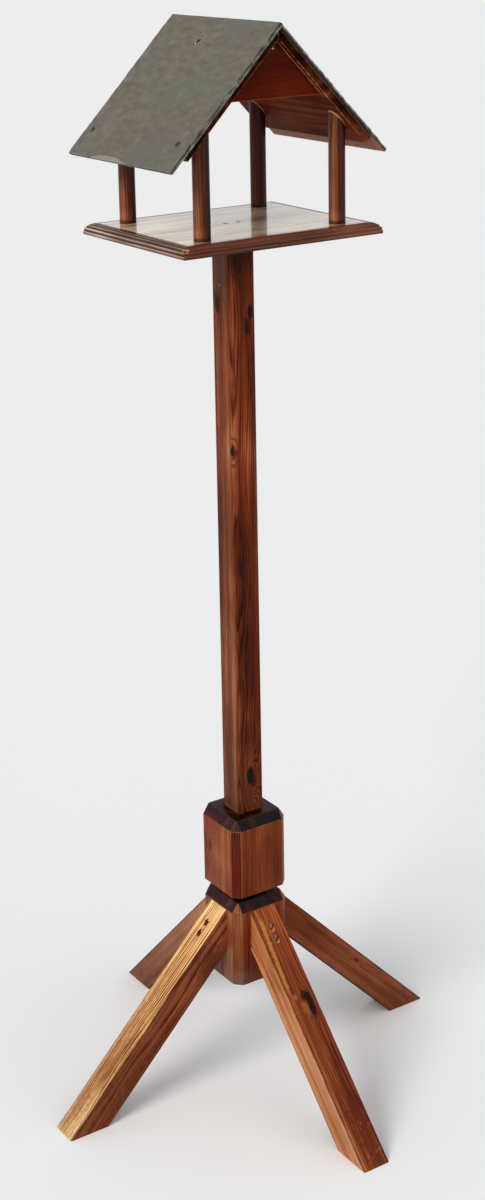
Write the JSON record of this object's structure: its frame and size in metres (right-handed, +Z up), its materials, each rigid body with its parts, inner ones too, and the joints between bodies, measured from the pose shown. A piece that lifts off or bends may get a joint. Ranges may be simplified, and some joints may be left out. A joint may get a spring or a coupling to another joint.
{
  "type": "bird table",
  "caption": "Free-standing bird table: slate gable roof on round posts over a tray with a reeded edge, on a square post in a bevelled base block with splayed legs.",
  "frame": {"origin": "on the ground plane, on the axis of the main post", "axes": "+Z up along the post; the front gable faces -Y; the slate slopes face -X and +X; the legs point along +X, +Y, -X and -Y"},
  "size_m": [0.6778, 0.6778, 1.65],
  "materials": {
    "post_wood": "satin stain",
    "block_wood": "satin stain",
    "leg_wood": "satin stain",
    "tray_wood": "gloss varnish",
    "moulding_wood": "gloss varnish",
    "roof_post_wood": "satin varnish",
    "roof_board_wood": "satin stain",
    "gable_wood": "satin stain",
    "slate": "riven, matt",
    "screw_steel": "plated"
  },
  "bodies": {
    "base": {"base_block": "block_wood", "leg_right": "leg_wood", "leg_back": "leg_wood", "leg_left": "leg_wood", "leg_front": "leg_wood", "leg_screws": "screw_steel"},
    "column": {"collar_block": "block_wood", "main_post": "post_wood", "tray_board": "tray_wood", "tray_edge_right": "moulding_wood", "tray_edge_back": "moulding_wood", "tray_edge_left": "moulding_wood", "tray_edge_front": "moulding_wood", "tray_screws": "screw_steel", "roof_post_front_left": "roof_post_wood", "roof_post_front_right": "roof_post_wood", "roof_post_back_left": "roof_post_wood", "roof_post_back_right": "roof_post_wood", "roof_post_screws": "screw_steel", "roof_board_left": "roof_board_wood", "roof_board_right": "roof_board_wood", "gable_panel_front": "gable_wood", "gable_panel_back": "gable_wood", "slate_left": "slate", "slate_right": "slate", "slate_screws": "screw_steel"}
  },
  "joints": [
    {"name": "column_lift", "type": "slide", "parent": "base", "child": "column", "axis": [0, 0, 1], "range_m": [0, 0.11]}
  ]
}
